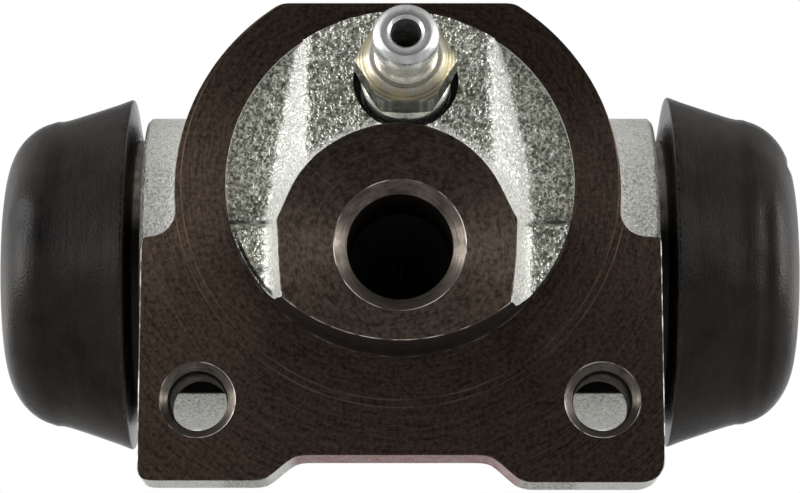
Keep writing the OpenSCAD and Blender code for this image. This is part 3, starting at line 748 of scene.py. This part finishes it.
drill = [(0, -BLEEDER_REACH), (PASSAGE_R, -BLEEDER_REACH), (BLEEDER_R, -BLEEDER_REACH + seat_len),
         (BLEEDER_R, 0), (0, 0)]
combine(blank, lathe("drilling", drill, BLEEDER, BLEEDER_AXIS, 96), "DIFFERENCE")
start = BLEEDER - BLEEDER_AXIS * (BLEEDER_REACH - 0.5)
run = Vector((start.x, AXIS_Y, AXIS_Z + BORE_R - 1)) - start
passage = [(0, 0), (PASSAGE_R, 0), (PASSAGE_R, run.length), (0, run.length)]
combine(blank, lathe("passage", passage, start, run, 32), "DIFFERENCE")
for side in (-1, 1):
    first = BOLT_CORE + 0.12
    hole = [(0, -1), (BOLT_SINK + 1, -1), (first, BOLT_SINK - first), (first, BOLT_SINK - first + 0.15),
            (BOLT_MAJOR, BOLT_SINK - first + 0.5), (BOLT_MAJOR, FLANGE_T + 1.2), (0, FLANGE_T + 1.2)]
    combine(blank, lathe("bolt_hole", hole, (side * BOLT_X, 0, 0), INTO, 96), "DIFFERENCE")

# Finishes of the housing, as material indices after the casting's own
FLAT_FACE, FLAT_BOSS, BROKEN, TURNED_IN, IN_NECK, DRILLED, SPIGOT_WALL, CHAMFERED = range(1, 9)
EDGE_WIDTH = 0.075


def from_spigot(point):
    return math.hypot(point.x, point.z - SPIGOT_Z)


def from_inlet(point):
    return math.hypot(point.x, point.z - INLET_Z)


def from_bolt(point):
    return math.hypot(abs(point.x) - BOLT_X, point.z)


def break_edges(bm, region, index, depth):
    """Fills a machined face afresh inside a narrow broken edge."""
    chosen = set(region)
    rim = [(l.vert, l.link_loop_next.vert) for f in region for l in f.loops
           if not any(g in chosen for g in l.edge.link_faces if g is not f)]
    inward, beside = {}, {}
    for a, b in rim:
        d = (b.co - a.co).normalized()
        into = Vector((0, -1, 0)).cross(d)
        for v, w in ((a, b), (b, a)):
            inward[v] = inward.get(v, Vector()) + into
            beside.setdefault(v, []).append(w)
    bmesh.ops.delete(bm, geom=region, context="FACES_ONLY")
    for _ in range(2):
        inward = {v: d + 0.5 * sum((inward[w] for w in beside[v]), Vector()) for v, d in inward.items()}
    new = {v: bm.verts.new(Vector((v.co.x, depth, v.co.z)) + d.normalized() * EDGE_WIDTH) for v, d in inward.items()}
    edges = []
    for a, b in rim:
        band = bm.faces.new((a, b, new[b], new[a]))
        at_hole = min(from_bolt(a.co), from_inlet(a.co) - INLET_SINK + BOLT_SINK) < BOLT_SINK + 0.3
        low_spigot = abs(from_spigot(a.co) - SPIGOT_R) < 0.3 and a.co.z < SPIGOT_Z - 5
        at_side = abs(a.co.x) > FLANGE_RIGHT - 0.5
        band.material_index = BROKEN if at_hole or low_spigot or at_side else index
        band.smooth = True
        edges.append(bm.edges.get((new[a], new[b])))
    for v in inward:
        v.co.y = depth + EDGE_WIDTH * 0.7
    filled = bmesh.ops.triangle_fill(bm, edges=edges, use_beauty=True, use_dissolve=False, normal=(0, -1, 0))["geom"]
    for f in filled:
        if isinstance(f, bmesh.types.BMFace):
            f.material_index = index
            f.smooth = True
    bare = [e for e in bm.edges if not e.link_faces]
    bmesh.ops.delete(bm, geom=bare, context="EDGES")


def finish_housing(obj):
    """Bright broken edges round the machined faces, then one finish for each way a surface was made."""
    bm = bmesh.new()
    bm.from_mesh(obj.data)
    bmesh.ops.remove_doubles(bm, verts=bm.verts, dist=1e-4)
    bmesh.ops.dissolve_degenerate(bm, edges=bm.edges, dist=1e-5)
    bm.normal_update()
    for f in bm.faces:
        f.material_index = 0
        f.smooth = True
    for index, depth in ((FLAT_FACE, 0.0), (FLAT_BOSS, -BOSS_PROJ)):
        region = [f for f in bm.faces if f.normal.y < -0.5
                  and all(abs(v.co.y - depth) < 0.004 for v in f.verts)
                  and (index == FLAT_BOSS or all(from_spigot(v.co) > SPIGOT_R - 0.1 for v in f.verts))]
        break_edges(bm, region, index, depth)
    bm.normal_update()
    for f in bm.faces:
        if f.material_index:
            continue
        c, n = f.calc_center_median(), f.normal
        inlet_r, bolt_r, spigot_r = from_inlet(c), from_bolt(c), from_spigot(c)
        bore_r = math.hypot(c.y - AXIS_Y, c.z - AXIS_Z)
        s = (c - BLEEDER).dot(BLEEDER_AXIS)
        bleed_r = (c - BLEEDER - BLEEDER_AXIS * s).length
        if abs(c.x) > BARREL_END - 0.01 or bore_r < BORE_R + 0.05:
            f.material_index = IN_NECK
        elif inlet_r < INLET_SINK + 0.02 and -BOSS_PROJ - 0.01 < c.y < AXIS_Y:
            chamfer_end = -BOSS_PROJ + INLET_SINK - INLET_CORE - 0.09
            f.material_index = CHAMFERED if c.y < chamfer_end else DRILLED
        elif bolt_r < BOLT_SINK + 0.02 and c.y < FLANGE_T + 1.3:
            f.material_index = TURNED_IN if c.y < FLANGE_T else SPIGOT_WALL
        elif bleed_r < SPOTFACE_R + 0.01 and s > -BLEEDER_REACH - 1:
            f.material_index = DRILLED
        elif -0.05 < spigot_r - SPIGOT_R < 0.25 and -BOSS_PROJ + 0.02 < c.y < 0.01:
            radial = (n.x * c.x + n.z * (c.z - SPIGOT_Z)) / spigot_r
            if radial > (0.6 if c.y > -0.24 else 0.9):
                f.material_index = SPIGOT_WALL
    for e in bm.edges:
        if len(e.link_faces) == 2:
            a, b = e.link_faces
            made = a.material_index or b.material_index
            corner = a.material_index != b.material_index or a.normal.angle(b.normal, 0) > math.radians(30)
            e.smooth = not (made and corner)
    obj.data.materials.clear()
    for mat in (CAST, FACE, BOSS, EDGE, TURNED, NECK, SHADED_DRILLED, SHADED_WALL, CHAMFER):
        obj.data.materials.append(mat)
    bm.to_mesh(obj.data)
    bm.free()


finish_housing(blank)


def finished(obj, body, slot, *replaced):
    """To metres; onto its body when the body is a name, otherwise with its transform baked in."""
    obj.data.transform(Matrix.Scale(MM, 4))
    obj.data.update()
    if isinstance(body, str):
        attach(obj, body)
    else:
        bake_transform(obj)
    if replaced:
        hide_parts(*replaced)
    return obj


finished(blank, "housing_body", "housing_iron", "housing")


# Threads: a helical ridge in each drilled hole
def helix_tree():
    tree = bpy.data.node_groups.new("helical_ridge", "GeometryNodeTree")
    tree.interface.new_socket("Geometry", in_out="OUTPUT", socket_type="NodeSocketGeometry")
    for label, kind, value in (("Radius", "Float", 5.0), ("Pitch", "Float", 1.0), ("Turns", "Float", 8.0),
                               ("Ridge", "Float", 0.5), ("Sides", "Int", 4), ("Finish", "Material", None)):
        made = tree.interface.new_socket(label, in_out="INPUT", socket_type="NodeSocket" + kind)
        if value is not None:
            made.default_value = value
    n, join = tree.nodes, tree.links.new
    given, out = n.new("NodeGroupInput"), n.new("NodeGroupOutput")
    rise = n.new("ShaderNodeMath")
    rise.operation = "MULTIPLY"
    spiral, section = n.new("GeometryNodeCurveSpiral"), n.new("GeometryNodeCurvePrimitiveCircle")
    normal, sweep = n.new("GeometryNodeSetCurveNormal"), n.new("GeometryNodeCurveToMesh")
    real, paint = n.new("GeometryNodeRealizeInstances"), n.new("GeometryNodeSetMaterial")
    normal.mode = "Z_UP"
    spiral.inputs["Resolution"].default_value = 48
    sweep.inputs["Fill Caps"].default_value = True
    join(given.outputs["Pitch"], rise.inputs[0])
    join(given.outputs["Turns"], rise.inputs[1])
    join(given.outputs["Turns"], spiral.inputs["Rotations"])
    join(given.outputs["Radius"], spiral.inputs["Start Radius"])
    join(given.outputs["Radius"], spiral.inputs["End Radius"])
    join(rise.outputs[0], spiral.inputs["Height"])
    join(given.outputs["Ridge"], section.inputs["Radius"])
    join(given.outputs["Sides"], section.inputs["Resolution"])
    join(spiral.outputs[0], normal.inputs[0])
    join(normal.outputs[0], sweep.inputs["Curve"])
    join(section.outputs[0], sweep.inputs["Profile Curve"])
    join(sweep.outputs[0], real.inputs[0])
    join(real.outputs[0], paint.inputs["Geometry"])
    join(given.outputs["Finish"], paint.inputs["Material"])
    join(paint.outputs[0], out.inputs[0])
    return tree


HELIX = helix_tree()


def helix(name, place_at, axis, **sizes):
    obj = mesh_object(name, [], [])
    mod = obj.modifiers.new("helix", "NODES")
    mod.node_group = HELIX
    for item in HELIX.interface.items_tree:
        if item.in_out == "INPUT" and item.name in sizes:
            mod[item.identifier] = sizes[item.name]
    baked(obj)
    obj.data.transform(axis_frame(place_at, axis))
    return outward(obj)


thread = helix("inlet_thread", (0, -BOSS_PROJ + 1.7, INLET_Z), INTO,
               Radius=INLET_MAJOR - 0.02, Pitch=1.0, Turns=8.6, Ridge=0.54, Finish=SHADED_DRILLED)
finished(thread, "housing_body", "housing_iron", "housing")
for side, name in ((-1, "left_bolt_thread"), (1, "right_bolt_thread")):
    thread = helix(name, (side * BOLT_X, 1.3, 0), INTO,
                   Radius=BOLT_MAJOR - 0.02, Pitch=1.0, Turns=5.6, Ridge=0.5, Finish=TURNED)
    finished(thread, "housing_body", "housing_iron", "housing")


# Bleeder screw: one turned form with a hexagon, drilled through the nozzle
HEX_FLAT = 3.9


def along_bleeder():
    """(radius, distance, whether the hexagon cuts it) up the outside of the screw."""
    out = [(PASSAGE_R, -10.6, 0), (3.95, -7.9, 0), (3.95, -2.35, 0), (3.45, -2.35, 0), (3.45, -1.75, 0),
           (3.75, -1.4, 0)]
    out += [(3.95, s, 0) for s in np.linspace(-1.0, 0.5, 6)]
    out += [(3.9, 0.65, 0), (3.55, 1.15, 0), (3.4, 1.25, 0), (3.3, 1.3, 0), (3.3, 1.85, 0)]
    out += [(3.9, 1.9, 1)]
    out += [(3.9 + 0.55 * k / 4, 1.9 + 0.3 * k / 4, 1) for k in range(1, 5)]
    out += [(4.45, s, 1) for s in np.linspace(2.4, 4.4, 7)]
    out += [(4.45 - 1.3 * k / 16, 4.4 + 1.0 * k / 16, 1) for k in range(1, 17)]
    out += [(3.0, 5.43, 0), (2.72, 5.5, 0), (2.5, 5.7, 0), (2.38, 6.0, 0), (2.35, 6.3, 0), (2.35, 7.7, 0)]
    out += [(2.35 + 0.55 * math.sin(math.pi / 2 * k / 6), 7.7 + 0.9 * k / 6, 0) for k in range(1, 7)]
    out += [(2.9, 9.1, 0), (2.88, 9.35, 0), (2.8, 9.65, 0), (2.66, 9.92, 0), (2.46, 10.12, 0), (2.24, 10.25, 0),
            (2.12, 10.29, 0), (2.0, 10.3, 0)]
    out += [(1.62, 10.3, 0), (1.55, 10.27, 0), (1.32, 10.02, 0), (1.3, 9.9, 0), (1.3, 2.0, 0)]
    return out


def bleeder_mesh(name, turns=168):
    m = axis_frame(BLEEDER, BLEEDER_AXIS)
    verts, faces = [m @ Vector((0, 0, -10.6))], []
    profile = along_bleeder()
    for r, s, hexed in profile:
        for k in range(turns):
            a = 2 * math.pi * k / turns
            flat = HEX_FLAT / math.cos((a % (math.pi / 3)) - math.pi / 6)
            q = min(r, flat) if hexed else r
            verts.append(m @ Vector((q * math.cos(a), q * math.sin(a), s)))
    verts.append(m @ Vector((0, 0, 2.0)))
    ring = lambda i, k: 1 + i * turns + k % turns
    for k in range(turns):
        faces.append((0, ring(0, k + 1), ring(0, k)))
        for i in range(len(profile) - 1):
            faces.append((ring(i, k), ring(i, k + 1), ring(i + 1, k + 1), ring(i + 1, k)))
        faces.append((ring(len(profile) - 1, k), ring(len(profile) - 1, k + 1), len(verts) - 1))
    return outward(mesh_object(name, verts, faces))


def smooth_by_angle(obj, degrees):
    for p in obj.data.polygons:
        p.use_smooth = True
    obj.data.set_sharp_from_angle(angle=math.radians(degrees))


screw = bleeder_mesh("bleeder")
smooth_by_angle(screw, 28)
screw.data.materials.append(ZINC)
finished(screw, "bleeder_body", "bleeder_steel", "bleeder_screw")


# Boots: flared lip, shallow valley and rounded end bead, over the neck and the piston nose
def boot_profile():
    """(radius, distance from the middle) round the section of a boot."""
    outer = [(15.6, 24.2), (15.88, 24.26), (15.95, 24.36), (15.9, 24.55), (15.5, 25.6), (14.96, 27.2),
             (14.5, 28.6), (14.12, 29.8), (13.92, 30.6), (13.9, 31.2)]
    quarter = math.pi / 2
    bead = [(8.15 + 5.75 * math.sin(quarter + quarter * k / 20), 30.5 + 5.1 * math.sin(quarter * k / 20))
            for k in range(3, 21)]
    mouth = [(7.9, 35.6), (7.35, 35.55), (7.1, 35.35), (7.05, 34.9), (7.05, 34.5), (6.36, 34.5), (6.36, 33.0),
             (7.05, 33.0), (7.05, 32.35), (10.0, 32.35)]
    inside = [(11.2, 31.2), (12.0, 29.35), (12.0, 27.1), (12.25, 27.1), (12.25, 25.9), (11.25, 25.9),
              (11.25, 24.5), (12.25, 24.5), (12.25, 23.75), (12.6, 23.65), (14.2, 23.95)]
    return outer + bead + mouth + inside


def densify(points, step):
    out = []
    n = len(points)
    for k in range(n):
        a, b = np.array(points[k]), np.array(points[(k + 1) % n])
        cuts = max(1, int(np.linalg.norm(b - a) / step))
        out += [tuple(a + (b - a) * c / cuts) for c in range(cuts)]
    return out


def boot(name, side, seed, dents, crease, lift):
    """Turned from its section, then waved, creased and dented where it is free."""
    profile = densify(boot_profile(), 0.5)
    turns = 240
    rng = np.random.default_rng(seed)
    phase = rng.uniform(0, 2 * math.pi, 6)
    verts, faces = [], []
    for r, t in profile:
        for k in range(turns):
            a = 2 * math.pi * k / turns
            free = min(max((r - 12.6) / 2.0, 0.0), 1.0) if t < 28 else min(max((r - 8.5) / 3.0, 0.0), 1.0)
            wave = sum(math.sin(a * (j + 1) + phase[j] + 0.15 * t) / (j + 1) for j in range(4)) * 0.05
            low = min(max((6.0 - r * math.sin(a)) / 3.0, 0.0), 1.0)
            fold = crease[1] * math.exp(-((t - crease[0]) / 0.55) ** 2) * max(math.cos(a), 0.0) * low * free
            q, u = r + free * wave - fold, t + free * 0.4 * wave
            up, fore = q * math.sin(a), q * math.cos(a)
            for height, forward, at_t, radius, depth, reach in dents:
                away = math.sqrt((up - height) ** 2 + ((fore - forward) / reach) ** 2 + (u - at_t) ** 2) / radius
                if away < 1:
                    push = depth * (1 - away * away) ** 2
                    up, fore, u = up * (1 - push / max(q, 1)), fore * (1 - push / max(q, 1)), u - push * 0.6
            verts.append((side * u, AXIS_Y - fore, AXIS_Z + up + lift * free))
    n = len(profile)
    for i in range(n):
        this, after = i * turns, (i + 1) % n * turns
        for k in range(turns):
            beside = (k + 1) % turns
            faces.append((this + k, this + beside, after + beside, after + k))
    obj = outward(mesh_object(name, verts, faces))
    smooth_by_angle(obj, 50)
    obj.data.materials.append(BOOT)
    return obj


# A dent is (height, distance towards the front, distance from the middle, size, depth, stretch front to back)
LEFT_DENTS = [(3.0, 12.2, 33.4, 2.2, 0.12, 1), (-6.0, 11.5, 31.0, 2.0, 0.15, 1)]
RIGHT_DENTS = [(8.7, 4.4, 35.35, 1.0, 0.55, 4.5), (-2.0, 13.2, 31.0, 2.6, 0.16, 1), (7.5, 11.0, 31.2, 2.4, 0.14, 1)]
BOOT_HELD, BOOT_MOVED = 26.0, 33.0
left = boot("left_dust_boot", -1, 3, LEFT_DENTS, crease=(31.2, 0.16), lift=0.0)
right = boot("right_dust_boot", 1, 8, RIGHT_DENTS, crease=(32.2, 0.26), lift=0.18)
SLIDE = {"left": "left_piston_body", "right": "right_piston_body"}
for obj, name, side in ((left, "left", -1), (right, "right", 1)):
    held, moved = (side * BOOT_HELD, AXIS_Y, AXIS_Z), (side * BOOT_MOVED, AXIS_Y, AXIS_Z)
    finished(obj, ("housing_body", SLIDE[name], held, moved), "boot_rubber", name + "_boot")


# Spring: two halves that meet in the middle
SPRING_LEN, TURNS, COIL_R, WIRE_R = 22.4, 6.5, 5.2, 0.6


def spring_half(name, side):
    closed = 2 * WIRE_R + 0.1
    loose = (SPRING_LEN - 2 * WIRE_R - 2 * closed) / (TURNS - 2)
    points = []
    for k in range(int(TURNS * 24) + 1):
        t = TURNS / 2 + side * (TURNS / 2) * k / int(TURNS * 24)
        x = t * closed if t < 1 else closed + (min(t, TURNS - 1) - 1) * loose + max(t - TURNS + 1, 0) * closed
        a = 2 * math.pi * t
        points.append((x - SPRING_LEN / 2 + WIRE_R, AXIS_Y + COIL_R * math.sin(a), AXIS_Z - COIL_R * math.cos(a)))
    curve = bpy.data.curves.new(name, "CURVE")
    curve.dimensions = "3D"
    spline = curve.splines.new("POLY")
    spline.points.add(len(points) - 1)
    for p, at in zip(spline.points, points):
        p.co = (*at, 1)
    curve.bevel_depth = WIRE_R
    curve.bevel_resolution = 3
    curve.use_fill_caps = True
    path = bpy.data.objects.new(name + "_path", curve)
    scene.collection.objects.link(path)
    bpy.context.view_layer.update()
    mesh = bpy.data.meshes.new_from_object(path.evaluated_get(bpy.context.evaluated_depsgraph_get()))
    bpy.data.objects.remove(path)
    obj = bpy.data.objects.new(name, mesh)
    scene.collection.objects.link(obj)
    mesh.materials.clear()
    mesh.materials.append(WIRE)
    smooth_by_angle(outward(obj), 40)
    return obj


for name, side in (("left", -1), ("right", 1)):
    half = spring_half(name + "_spring_half", side)
    middle, tip = (0, AXIS_Y, AXIS_Z), (side * SPRING_LEN / 2, AXIS_Y, AXIS_Z)
    finished(half, ("housing_body", SLIDE[name], middle, tip), "spring_steel", "spring")

# Pistons, cups and expanders keep their own solids
for name, mat in (("piston", ALUMINIUM), ("cup", CUP), ("expander", PRESSED)):
    for side in ("left_", "right_"):
        nodes[side + name].data.materials.clear()
        nodes[side + name].data.materials.append(mat)

# Pale floor under the part
corners = [(x * FLOOR_HALF, y * FLOOR_HALF, FLOOR_Z) for x, y in ((-1, -1), (1, -1), (1, 1), (-1, 1))]
ground = mesh_object("floor", corners, [(0, 1, 2, 3)])
ground.data.transform(Matrix.Scale(MM, 4))
pale, pale_bsdf = shader("pale_floor", 0.0, 0.8)
seen = node(pale, "ShaderNodeLightPath").outputs["Is Camera Ray"]
link(pale, blend_colour(pale, seen, grey(0.48), grey(0.86)), pale_bsdf.inputs["Base Color"])
ground.data.materials.append(pale)
